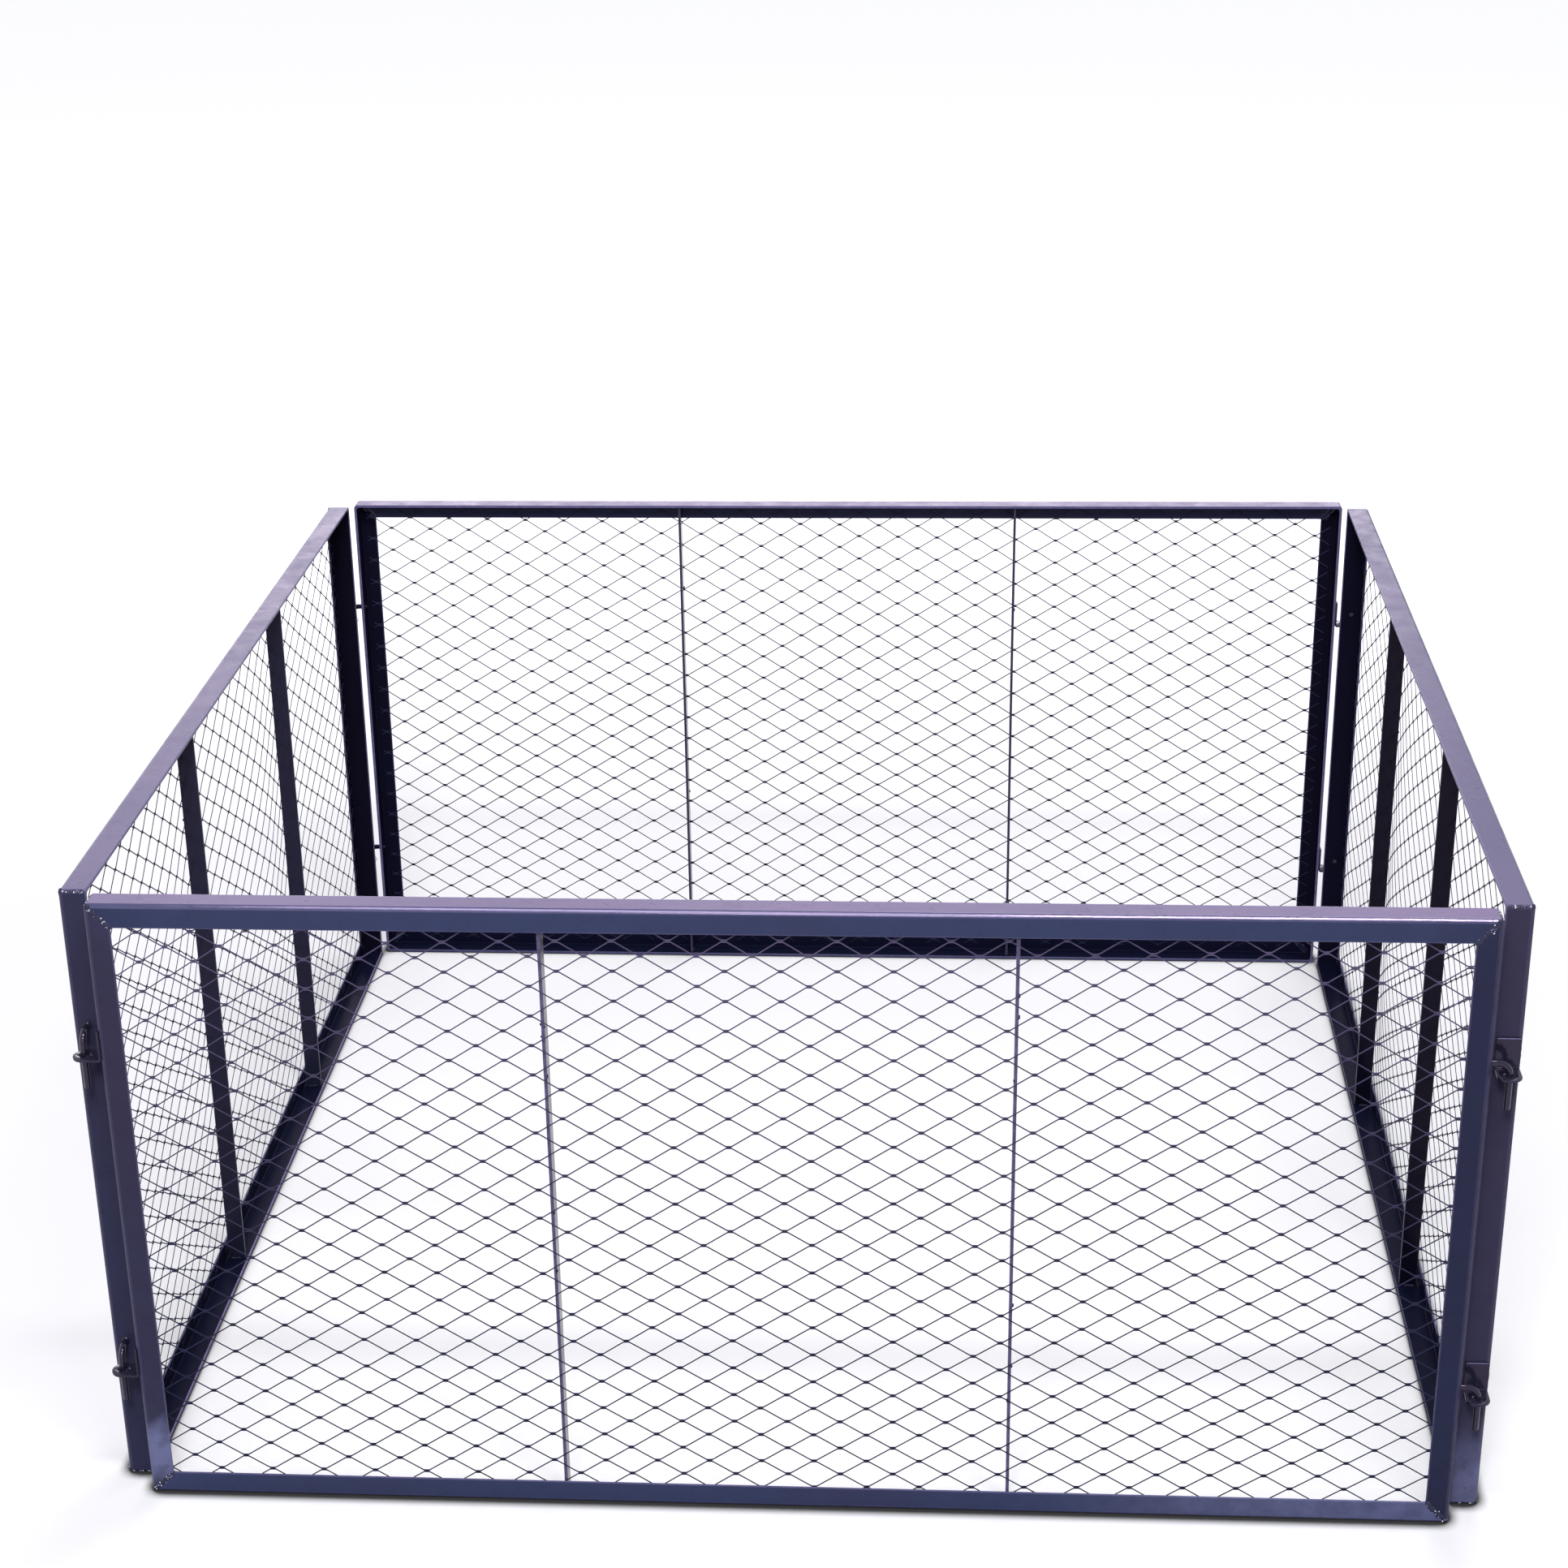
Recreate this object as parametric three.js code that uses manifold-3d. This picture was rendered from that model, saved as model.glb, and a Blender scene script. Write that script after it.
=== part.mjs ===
import * as THREE from 'three';
import { mergeVertices } from 'three/addons/utils/BufferGeometryUtils.js';
import Module from 'manifold-3d';

// Wire mesh compost bin: four equal panels, each hooked onto the next, stand as an open square box.
// Lengths are in millimetres, Z points up, the front faces -Y, and the origin is on the ground in the middle.
// A panel is drawn in the front panel's place and turned to the other three sides. An arc in an outline is
// drawn with two facets for each of its steps.

// Panels
const panelLength = 1200;
const panelHeight = 600;
const panelSides = ['front', 'right', 'back', 'left'];

// Angle frame, folded from sheet
const sheetThickness = 3;
const faceLeg = 22;
const edgeLeg = 26;
const foldInnerRadius = 1.5;
const foldArcSteps = 2;

// Stiffening bars, on edge behind the mesh, placed along the panel's length
const barThickness = 3;
const barDepth = 18;
const barShares = { left: 0.326, right: 0.666 };

// Expanded-metal mesh: half diamonds along and up the panel, and the section of a strand
const meshColumns = 20;
const meshRows = 17;
const strandWidth = 3;
const strandHeight = 2;

// Hook pins, bent from round bar
const pinDiameter = 6;
const pinBendRadius = 12;
const pinRise = 20;
const pinDrop = 30;
const pinTail = 2;
const pinRoundSteps = 5;
const pinBendSteps = 6;

// Eye plates, folded from strip, placed up the panel's height
const eyeWidth = 21;
const eyeThickness = 2;
const eyeRise = 30;
const eyeReach = 28;
const eyeNoseDepth = 7.5;
const eyeFoldInnerRadius = 1;
const eyeHoleDiameter = 10;
const eyeFoldSteps = 2;
const eyeNoseSteps = 5;
const holeSteps = 16;
const eyeHeightShares = { upper: 0.747, lower: 0.207 };

// Hinge axis beyond the panel's end, the gap where two pieces meet, and how far a cutting shape runs past
const hingeReach = 18;
const seatGap = 0.3;
const cutOverrun = 1;

// Places that follow from the sizes
const halfLength = panelLength / 2;
const halfHeight = panelHeight / 2;
const foldOuterRadius = foldInnerRadius + sheetThickness;
const hingePlace = halfLength + hingeReach;
const panelFace = hingePlace + edgeLeg / 2;
const meshInset = (foldOuterRadius + faceLeg) / 2;
const meshFront = sheetThickness + seatGap;
const barFront = meshFront + strandHeight + seatGap;
const pinRadius = pinDiameter / 2;
const boreRadius = pinRadius + seatGap;
const quarterTurn = Math.PI / 2;

const wasm = await Module();
wasm.setup();

// Paint

function paint(color, roughness) {
  return new THREE.MeshStandardMaterial({ color, roughness, metalness: 0.2 });
}

const materials = {
  frame: () => paint(0x3b3a58, 0.32),
  bar: () => paint(0x2e2c48, 0.36),
  mesh: () => paint(0x24223a, 0.4),
  pin: () => paint(0x403e5c, 0.28),
  eye: () => paint(0x373552, 0.3),
};

// Booleans

function toSolid(geometry) {
  const bare = geometry.clone();
  bare.deleteAttribute('normal');
  bare.deleteAttribute('uv');
  const merged = mergeVertices(bare);
  return new wasm.Manifold(new wasm.Mesh({
    numProp: 3,
    vertProperties: new Float32Array(merged.attributes.position.array),
    triVerts: new Uint32Array(merged.index.array),
  }));
}

function toGeometry(solid) {
  const mesh = solid.getMesh();
  const geometry = new THREE.BufferGeometry();
  geometry.setAttribute('position', new THREE.BufferAttribute(mesh.vertProperties, 3));
  geometry.setIndex(new THREE.BufferAttribute(mesh.triVerts, 1));
  geometry.computeVertexNormals();
  return geometry;
}

// Angle member: outer edge along Z, face leg down -Y, edge leg along X

function angleOutline() {
  const outline = new THREE.Shape();
  outline.moveTo(0, -faceLeg);
  outline.lineTo(0, -foldOuterRadius);
  outline.absarc(foldOuterRadius, -foldOuterRadius, foldOuterRadius, Math.PI, quarterTurn, true);
  outline.lineTo(edgeLeg, 0);
  outline.lineTo(edgeLeg, -sheetThickness);
  outline.absarc(foldOuterRadius, -foldOuterRadius, foldInnerRadius, quarterTurn, Math.PI, false);
  outline.lineTo(sheetThickness, -faceLeg);
  outline.closePath();
  return outline;
}

// Each end is a 45 degree mitre, so a point lies as far short of the corner as it is deep in the frame.
function mitredMember(length) {
  const settings = { depth: 1, bevelEnabled: false, curveSegments: foldArcSteps };
  const geometry = new THREE.ExtrudeGeometry(angleOutline(), settings);
  const points = geometry.attributes.position;
  const mitreGap = seatGap * Math.SQRT1_2;
  for (let i = 0; i < points.count; i += 1) {
    const end = length / 2 - mitreGap + points.getY(i);
    points.setZ(i, points.getZ(i) > 0 ? end : -end);
  }
  geometry.computeVertexNormals();
  return geometry;
}

// The right stile has a bore for each pin through its edge leg.
function boredMember(length, places) {
  let solid = toSolid(mitredMember(length));
  for (const place of places) {
    const drill = new THREE.CylinderGeometry(boreRadius, boreRadius, sheetThickness + 2 * cutOverrun, holeSteps);
    drill.translate(edgeLeg / 2, -sheetThickness / 2, place);
    solid = solid.subtract(toSolid(drill));
  }
  return toGeometry(solid);
}

// Stiffening bar, seated between the rails' edge legs

function stiffeningBar() {
  const length = panelHeight - 2 * (sheetThickness + seatGap);
  return new THREE.BoxGeometry(barThickness, barDepth, length);
}

// Expanded-metal sheet: every strand has a flat front and a ridge behind, and strands meet in staggered knots.
// A knot has a corner to the right, top, left and bottom on the flat, and its ridge point over the middle.

function meshSheet(width, height) {
  const stepX = width / meshColumns;
  const stepZ = height / meshRows;
  const slope = Math.atan2(stepZ, stepX);
  const reachX = strandWidth / 2 / Math.sin(slope);
  const reachZ = strandWidth / 2 / Math.cos(slope);
  const knotCorners = [[reachX, 0], [0, reachZ], [-reachX, 0], [0, -reachZ]];
  const places = [];
  const faces = [];
  const knots = new Map();

  const addPoint = (x, y, z) => places.push(x, y, z) / 3 - 1;
  const addFace = (...loop) => {
    for (let i = 2; i < loop.length; i += 1) {
      faces.push(loop[0], loop[i - 1], loop[i]);
    }
  };
  const isKnot = (column, row) => (column + row) % 2 === 0;
  const knotAt = (column, row) => knots.get(column * (meshRows + 1) + row);

  const addKnot = (column, row) => {
    const x = column * stepX - width / 2;
    const z = row * stepZ;
    const corners = knotCorners.map(([dx, dz]) => addPoint(x + dx, 0, z + dz));
    addFace(...corners);
    const ridge = addPoint(x, strandHeight, z);
    knots.set(column * (meshRows + 1) + row, { corners, ridge, open: [true, true, true, true] });
  };

  // Quarters go round from upper right: a strand leaves one knot's quarter and enters the opposite one.
  const addStrand = (from, to, quarter) => {
    const opposite = (quarter + 2) % 4;
    const [fromRight, fromLeft] = [from.corners[quarter], from.corners[(quarter + 1) % 4]];
    const [toLeft, toRight] = [to.corners[opposite], to.corners[(opposite + 1) % 4]];
    addFace(fromRight, toRight, toLeft, fromLeft);
    addFace(from.ridge, fromLeft, toLeft, to.ridge);
    addFace(from.ridge, to.ridge, toRight, fromRight);
    from.open[quarter] = false;
    to.open[opposite] = false;
  };

  for (let column = 0; column <= meshColumns; column += 1) {
    for (let row = 0; row <= meshRows; row += 1) {
      if (isKnot(column, row)) {
        addKnot(column, row);
      }
    }
  }
  for (let column = 0; column < meshColumns; column += 1) {
    for (let row = 0; row < meshRows; row += 1) {
      if (isKnot(column, row)) {
        addStrand(knotAt(column, row), knotAt(column + 1, row + 1), 0);
      } else {
        addStrand(knotAt(column + 1, row), knotAt(column, row + 1), 1);
      }
    }
  }
  for (const knot of knots.values()) {
    knot.open.forEach((isOpen, quarter) => {
      if (isOpen) {
        addFace(knot.corners[quarter], knot.ridge, knot.corners[(quarter + 1) % 4]);
      }
    });
  }

  const geometry = new THREE.BufferGeometry();
  geometry.setAttribute('position', new THREE.Float32BufferAttribute(places, 3));
  geometry.setIndex(faces);
  geometry.computeVertexNormals();
  return geometry;
}

// Hook pin: from behind the stile's edge leg out to the hinge axis, a quarter bend, then straight down.
// Its origin is where the bar's centre line would meet the hinge axis.

class PinPath extends THREE.Curve {
  getPoint(share, target = new THREE.Vector3()) {
    const station = share * (pinBendSteps + 2);
    const turn = THREE.MathUtils.clamp((station - 1) / pinBendSteps, 0, 1) * quarterTurn;
    const inward = Math.max(1 - station, 0) * (hingeReach - pinBendRadius + sheetThickness + pinTail);
    const straight = pinRise + eyeThickness + pinDrop - pinBendRadius;
    const downward = Math.max(station - pinBendSteps - 1, 0) * straight;
    return target.set(
      pinBendRadius * (Math.sin(turn) - 1) - inward,
      0,
      pinBendRadius * (Math.cos(turn) - 1) - downward,
    );
  }

  // Stations are spaced along the bend and not by length.
  getUtoTmapping(share) {
    return share;
  }
}

function hookPin() {
  const section = new THREE.Shape();
  section.absarc(0, 0, pinRadius, 0, 2 * Math.PI, false);
  return new THREE.ExtrudeGeometry(section, {
    extrudePath: new PinPath(),
    steps: pinBendSteps + 2,
    curveSegments: pinRoundSteps,
  });
}

// Eye plate: an L seen from the side, with a rounded nose seen from above. The pin on the hinge axis rests
// against the outer side of its wider hole. Its origin is on that axis at the plate's underside, and the
// stile is towards X.

function eyeProfile() {
  const back = hingeReach - seatGap;
  const foldOuter = eyeFoldInnerRadius + eyeThickness;
  const profile = new THREE.Shape();
  profile.moveTo(hingeReach - eyeReach, 0);
  profile.lineTo(back - foldOuter, 0);
  profile.absarc(back - foldOuter, foldOuter, foldOuter, -quarterTurn, 0, false);
  profile.lineTo(back, eyeRise);
  profile.lineTo(back - eyeThickness, eyeRise);
  profile.absarc(back - foldOuter, foldOuter, eyeFoldInnerRadius, 0, -quarterTurn, true);
  profile.lineTo(hingeReach - eyeReach, eyeThickness);
  profile.closePath();
  return profile;
}

function eyePlan() {
  const half = eyeWidth / 2;
  const tip = hingeReach - eyeReach;
  const noseRadius = (half * half + eyeNoseDepth * eyeNoseDepth) / (2 * eyeNoseDepth);
  const spread = Math.asin(Math.min(half / noseRadius, 1));
  const plan = new THREE.Shape();
  plan.moveTo(hingeReach, half);
  plan.lineTo(tip + eyeNoseDepth, half);
  plan.absarc(tip + noseRadius, 0, noseRadius, Math.PI - spread, Math.PI + spread, false);
  plan.lineTo(hingeReach, -half);
  plan.closePath();
  return plan;
}

function eyePlate() {
  const width = eyeWidth + 2 * cutOverrun;
  const strip = new THREE.ExtrudeGeometry(eyeProfile(), {
    depth: width,
    bevelEnabled: false,
    curveSegments: eyeFoldSteps,
  });
  strip.translate(0, 0, -width / 2);
  strip.rotateX(quarterTurn);
  const blank = new THREE.ExtrudeGeometry(eyePlan(), {
    depth: eyeRise + 2 * cutOverrun,
    bevelEnabled: false,
    curveSegments: eyeNoseSteps,
  });
  blank.translate(0, 0, -cutOverrun);
  const holeRadius = eyeHoleDiameter / 2;
  const hole = new THREE.CylinderGeometry(holeRadius, holeRadius, eyeThickness + 2 * cutOverrun, holeSteps);
  hole.rotateX(quarterTurn);
  hole.translate(holeRadius - pinRadius - seatGap, 0, eyeThickness / 2);
  return toGeometry(toSolid(strip).intersect(toSolid(blank)).subtract(toSolid(hole)));
}

// Panel assembly

const eyeHeights = {
  upper: eyeHeightShares.upper * panelHeight,
  lower: eyeHeightShares.lower * panelHeight,
};

function pinHeight(level) {
  return eyeHeights[level] + eyeThickness + pinRise;
}

const borePlaces = Object.keys(eyeHeights).map((level) => halfHeight - pinHeight(level));
const shapes = {
  rail: mitredMember(panelLength),
  leftStile: mitredMember(panelHeight),
  rightStile: boredMember(panelHeight, borePlaces),
  bar: stiffeningBar(),
  mesh: meshSheet(panelLength - 2 * meshInset, panelHeight - 2 * meshInset),
  pin: hookPin(),
  eye: eyePlate(),
};

function piece(name, geometry, makeMaterial) {
  const mesh = new THREE.Mesh(geometry, makeMaterial());
  mesh.name = name;
  return mesh;
}

// The four members go round the panel from the top by quarter turns about the panel's middle.
function addFrame(panel, side) {
  const lieAlongTop = new THREE.Matrix4().makeBasis(
    new THREE.Vector3(0, 1, 0),
    new THREE.Vector3(0, 0, 1),
    new THREE.Vector3(1, 0, 0),
  );
  const members = [
    { name: 'top_rail', shape: shapes.rail, reach: halfHeight },
    { name: 'right_stile', shape: shapes.rightStile, reach: halfLength },
    { name: 'bottom_rail', shape: shapes.rail, reach: halfHeight },
    { name: 'left_stile', shape: shapes.leftStile, reach: halfLength },
  ];
  members.forEach(({ name, shape, reach }, turn) => {
    const holder = new THREE.Group();
    holder.position.set(0, -panelFace, halfHeight);
    holder.rotation.y = turn * quarterTurn;
    const member = piece(`${side}_${name}`, shape, materials.frame);
    member.quaternion.setFromRotationMatrix(lieAlongTop);
    member.position.z = reach;
    holder.add(member);
    panel.add(holder);
  });
}

function addBars(panel, side) {
  for (const [place, share] of Object.entries(barShares)) {
    const bar = piece(`${side}_${place}_stiffener`, shapes.bar, materials.bar);
    bar.position.set(share * panelLength - halfLength, barFront + barDepth / 2 - panelFace, halfHeight);
    panel.add(bar);
  }
}

function addMesh(panel, side) {
  const sheet = piece(`${side}_mesh`, shapes.mesh, materials.mesh);
  sheet.position.set(0, meshFront - panelFace, meshInset);
  panel.add(sheet);
}

function addHooks(panel, side) {
  for (const [level, height] of Object.entries(eyeHeights)) {
    const pin = piece(`${side}_${level}_hook_pin`, shapes.pin, materials.pin);
    pin.position.set(hingePlace, -hingePlace, pinHeight(level));
    const eye = piece(`${side}_${level}_eye_plate`, shapes.eye, materials.eye);
    eye.position.set(-hingePlace, -hingePlace, height);
    panel.add(pin, eye);
  }
}

function makePanel(side) {
  const panel = new THREE.Group();
  addFrame(panel, side);
  addBars(panel, side);
  addMesh(panel, side);
  addHooks(panel, side);
  return panel;
}

const bin = new THREE.Group();
panelSides.forEach((side, turn) => {
  const panel = makePanel(side);
  panel.rotation.z = turn * quarterTurn;
  bin.add(panel);
});

export default bin;
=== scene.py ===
import math
import random

import bmesh
import bpy
import numpy as np
from mathutils import Matrix, Vector


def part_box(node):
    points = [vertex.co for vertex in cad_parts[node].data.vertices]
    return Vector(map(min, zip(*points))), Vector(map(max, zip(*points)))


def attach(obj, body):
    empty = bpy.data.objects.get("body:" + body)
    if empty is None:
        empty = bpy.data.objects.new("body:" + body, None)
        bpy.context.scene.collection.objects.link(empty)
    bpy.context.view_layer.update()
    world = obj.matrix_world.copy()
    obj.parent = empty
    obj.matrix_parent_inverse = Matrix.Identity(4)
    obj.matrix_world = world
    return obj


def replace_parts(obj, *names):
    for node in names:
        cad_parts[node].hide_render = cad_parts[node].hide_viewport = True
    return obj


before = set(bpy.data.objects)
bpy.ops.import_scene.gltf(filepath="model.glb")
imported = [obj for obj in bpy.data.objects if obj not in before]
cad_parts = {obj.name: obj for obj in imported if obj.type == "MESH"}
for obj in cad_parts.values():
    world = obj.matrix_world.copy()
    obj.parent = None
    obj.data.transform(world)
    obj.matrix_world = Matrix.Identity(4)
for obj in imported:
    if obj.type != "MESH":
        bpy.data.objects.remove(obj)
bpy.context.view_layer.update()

# Everything is built in millimetres in the front panel's place, then turned to each side of the bin.

MILLIMETRE = 0.001
SIDES = ("front", "right", "back", "left")
MEMBERS = ("top_rail", "bottom_rail", "left_stile", "right_stile")
HANDS = ("left", "right")
LEVELS = ("upper", "lower")
SEED = 4218
FRONTWARD = (0, -1, 0)


def node_box(name):
    """The lowest and highest corners of one of the CAD's solids."""
    low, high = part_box(name)
    return np.array(low) / MILLIMETRE, np.array(high) / MILLIMETRE


rail_low, rail_high = node_box("front_top_rail")
mesh_low, mesh_high = node_box("front_mesh")
PANEL_HEIGHT = float(rail_high[2])
HALF_LENGTH = float(node_box("front_right_stile")[1][0])
FACE_Y = float(rail_low[1])
FACE_LEG = float(rail_high[2] - rail_low[2])
EDGE_LEG = float(rail_high[1] - rail_low[1])
SHEET = 3.0

# Outlines and swept forms

WEAR_AND_HIGHLIGHT_REACH = 0.8
BOX_MARGIN = 0.03


def unit(vector):
    vector = np.asarray(vector, float)
    return vector / np.linalg.norm(vector)


def circle_angles(count):
    return [2 * math.pi * k / count for k in range(count)]


def rounded_outline(corners, radii, steps):
    """A closed outline in the plane with each corner turned into an arc."""
    points = []
    corners = np.asarray(corners, float)
    for i, here in enumerate(corners):
        back = unit(corners[i - 1] - here)
        ahead = unit(corners[(i + 1) % len(corners)] - here)
        half = math.acos(float(np.clip(back @ ahead, -1, 1))) / 2
        reach = radii[i] / math.tan(half)
        centre = here + unit(back + ahead) * radii[i] / math.sin(half)
        first = here + back * reach - centre
        last = here + ahead * reach - centre
        start = math.atan2(first[1], first[0])
        turn = math.atan2(last[1], last[0]) - start
        turn = (turn + math.pi) % (2 * math.pi) - math.pi
        for j in range(steps[i] + 1):
            angle = start + turn * j / steps[i]
            points.append(centre + radii[i] * np.array([math.cos(angle), math.sin(angle)]))
    return np.array(points)


def with_flats(outline, marks):
    """Adds two points near the ends of each long flat, where the wear and painted-highlight mark ends."""
    points = []
    values = []
    count = len(outline)
    for i in range(count):
        after = (i + 1) % count
        step = outline[after] - outline[i]
        length = float(np.linalg.norm(step))
        points.append(outline[i])
        values.append(marks[i])
        if length < 3 * WEAR_AND_HIGHLIGHT_REACH:
            continue
        for share in (WEAR_AND_HIGHLIGHT_REACH / length, 1 - WEAR_AND_HIGHLIGHT_REACH / length):
            points.append(outline[i] + step * share)
            blend = marks[i] + (marks[after] - marks[i]) * share
            values.append([0.0, *blend[1:]])
    return np.array(points), np.array(values)


class Form:
    """One piece in millimetres: its corners and faces, three marks at each corner (worn edge with painted
    highlight, painted sheen, painted shade), how strong its painted glare is, and the faces that take
    another paint."""

    def __init__(self):
        self.points = []
        self.faces = []
        self.marks = []
        self.count = 0
        self.painted_glare = 0.0
        self.other_paints = []

    def add(self, points, faces, marks=None):
        points = np.asarray(points, float)
        self.points.append(points)
        self.faces.extend([[k + self.count for k in face] for face in faces])
        self.marks.append(np.zeros((len(points), 3)) if marks is None else np.asarray(marks, float))
        self.count += len(points)

    def sweep(self, rings, marks=None):
        """Joins rings of equal size into a tube with a face at each end."""
        rings = np.asarray(rings, float)
        stations, around = rings.shape[:2]
        faces = []
        for i in range(stations - 1):
            for j in range(around):
                here = i * around + j
                after = i * around + (j + 1) % around
                faces.append([here, after, after + around, here + around])
        faces.append(list(range(around))[::-1])
        faces.append([(stations - 1) * around + j for j in range(around)])
        self.add(rings.reshape(-1, 3), faces, None if marks is None else np.tile(marks, (stations, 1)))

    def keep_inside(self):
        """Flattens whatever would stand out of the panel's face, top or foot."""
        for points in self.points:
            points[:, 1] = np.maximum(points[:, 1], FACE_Y + BOX_MARGIN)
            points[:, 2] = np.clip(points[:, 2], BOX_MARGIN, PANEL_HEIGHT - BOX_MARGIN)

    def placed(self):
        return np.concatenate(self.points), np.concatenate(self.marks)


# From forms to Blender's objects


def quarter_turned(points, side):
    """Turns points from the front panel's place to the place of another side's panel."""
    turn = SIDES.index(side) * math.pi / 2
    c, s = round(math.cos(turn)), round(math.sin(turn))
    turned = points.copy()
    turned[:, 0] = c * points[:, 0] - s * points[:, 1]
    turned[:, 1] = s * points[:, 0] + c * points[:, 1]
    return turned


def face_outwards(mesh):
    shape = bmesh.new()
    shape.from_mesh(mesh)
    bmesh.ops.recalc_face_normals(shape, faces=shape.faces)
    shape.to_mesh(mesh)
    shape.free()


def add_to_scene(name, data):
    thing = bpy.data.objects.new(name, data)
    bpy.context.scene.collection.objects.link(thing)
    return thing


def make_object(name, form, side, paint, slot, warmth=0.5, smooth_degrees=35.0, oriented=False):
    """Adds a form to the scene on its side's panel, painted and marked."""
    points, marks = form.placed()
    mesh = bpy.data.meshes.new(name)
    mesh.from_pydata((quarter_turned(points, side) * MILLIMETRE).tolist(), [], form.faces)
    columns = {
        "wear_and_highlight_mark": marks[:, 0],
        "painted_sheen_mark": marks[:, 1],
        "painted_shade_mark": marks[:, 2],
        "painted_glare_mark": form.painted_glare,
        "warmth": warmth,
    }
    for mark, values in columns.items():
        attribute = mesh.attributes.new(mark, "FLOAT", "POINT")
        attribute.data.foreach_set("value", np.broadcast_to(values, len(points)).astype(np.float32))
    if not oriented:
        face_outwards(mesh)
    mesh.polygons.foreach_set("use_smooth", [True] * len(mesh.polygons))
    mesh.set_sharp_from_angle(angle=math.radians(smooth_degrees))
    mesh.update()
    thing = add_to_scene(name, mesh)
    mesh.materials.append(paint)
    for index, (other, faces) in enumerate(form.other_paints, start=1):
        mesh.materials.append(other)
        for k in faces:
            mesh.polygons[k].material_index = index
    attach(thing, f"{side}_panel")
    return thing


# Paint: its colours, and its noises as (scale, detail, roughness)

PAINT_BLUE = (0.035, 0.046, 0.104)
PAINT_VIOLET = (0.035, 0.032, 0.063)
# Worn edges and painted highlights: the lighter colour along folds, cut edges and the eye plates' top lips.
PAINT_WEAR_AND_HIGHLIGHT = (0.20, 0.165, 0.33)
# Painted sheen: the pale lavender painted on the top rails' rim faces and the upper mesh.
PAINTED_SHEEN_COLOUR = (0.16, 0.125, 0.225)
# Painted glare: pale patches painted where a reflection lies on a member.
PAINTED_GLARE_COLOUR = (0.145, 0.155, 0.285)
PAINT_DUST = (0.22, 0.20, 0.30)
PAINT_TINT = (0.88, 0.69, 1.0)
PAINT_IOR = 1.45
# Near-white painted glints on the welds.
PAINTED_GLINT = (0.80, 0.80, 0.92)
# Painted shade: how dark the inside faces of the angles, and some whole members and bars, are painted.
INNER_PAINTED_SHADE = (0.15, 0.14, 0.19)
STREAK_SHADE = (0.88, 0.88, 0.90)
BLACK = (0.0, 0.0, 0.0)
WHITE = (1.0, 1.0, 1.0)
DRIFT_NOISE = (3.1, 4.0, 0.55)
STREAK_NOISE = (46.0, 5.0, 0.6)
WEAR_NOISE = (120.0, 6.0, 0.7)
DUST_NOISE = (900.0, 2.0, 0.5)
FINE_NOISE = (260.0, 2.0, 0.4)
BROAD_NOISE = (38.0, 2.0, 0.5)
HUE_STOPS = (0.30, 0.70)
STREAK_STOPS = (0.30, 0.72)
DUST_STOPS = (0.72, 0.80)
ROUGH_STOPS = (0.3, 0.7)
DUST_SHARE = 0.30
PAINTED_SHEEN_BASE = 0.3
PAINTED_GLARE_GAIN = 1.8
PEEL_STRENGTH = 0.25
FINE_PEEL = 0.00025
BROAD_PEEL = 0.0007
NODE_ROWS = 6
NODE_ROOM = 300


def add_node(tree, kind, **inputs):
    """Adds a node in the next free place of the tree's grid, with some of its inputs set."""
    column, row = divmod(len(tree.nodes), NODE_ROWS)
    node = tree.nodes.new(kind)
    node.location = (column * NODE_ROOM, -row * NODE_ROOM)
    for key, value in inputs.items():
        node.inputs[key.replace("_", " ")].default_value = value
    return node


def give(tree, socket, value):
    """Links a socket to another one, or sets it to a number or a colour."""
    if isinstance(value, bpy.types.NodeSocket):
        tree.links.new(value, socket)
    elif isinstance(value, tuple):
        socket.default_value = (*value, 1)
    else:
        socket.default_value = value


def combine(tree, operation, first, second):
    node = add_node(tree, "ShaderNodeMath")
    node.operation = operation
    give(tree, node.inputs[0], first)
    give(tree, node.inputs[1], second)
    return node.outputs["Value"]


def colour_mix(tree, blend, factor, first, second):
    node = add_node(tree, "ShaderNodeMix")
    node.data_type = "RGBA"
    node.blend_type = blend
    give(tree, node.inputs["Factor"], factor)
    give(tree, node.inputs[6], first)
    give(tree, node.inputs[7], second)
    return node.outputs[2]


def colour_ramp(tree, factor, colours, stops):
    node = add_node(tree, "ShaderNodeValToRGB")
    for element, colour, stop in zip(node.color_ramp.elements, colours, stops, strict=True):
        element.color = (*colour, 1)
        element.position = stop
    give(tree, node.inputs["Fac"], factor)
    return node.outputs["Color"]


def map_range(tree, value, stops, results):
    node = add_node(tree, "ShaderNodeMapRange", From_Min=stops[0], From_Max=stops[1])
    node.inputs["To Min"].default_value, node.inputs["To Max"].default_value = results
    give(tree, node.inputs["Value"], value)
    return node


def mark_value(tree, name):
    node = add_node(tree, "ShaderNodeAttribute")
    node.attribute_name = name
    return node.outputs["Fac"]


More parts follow.
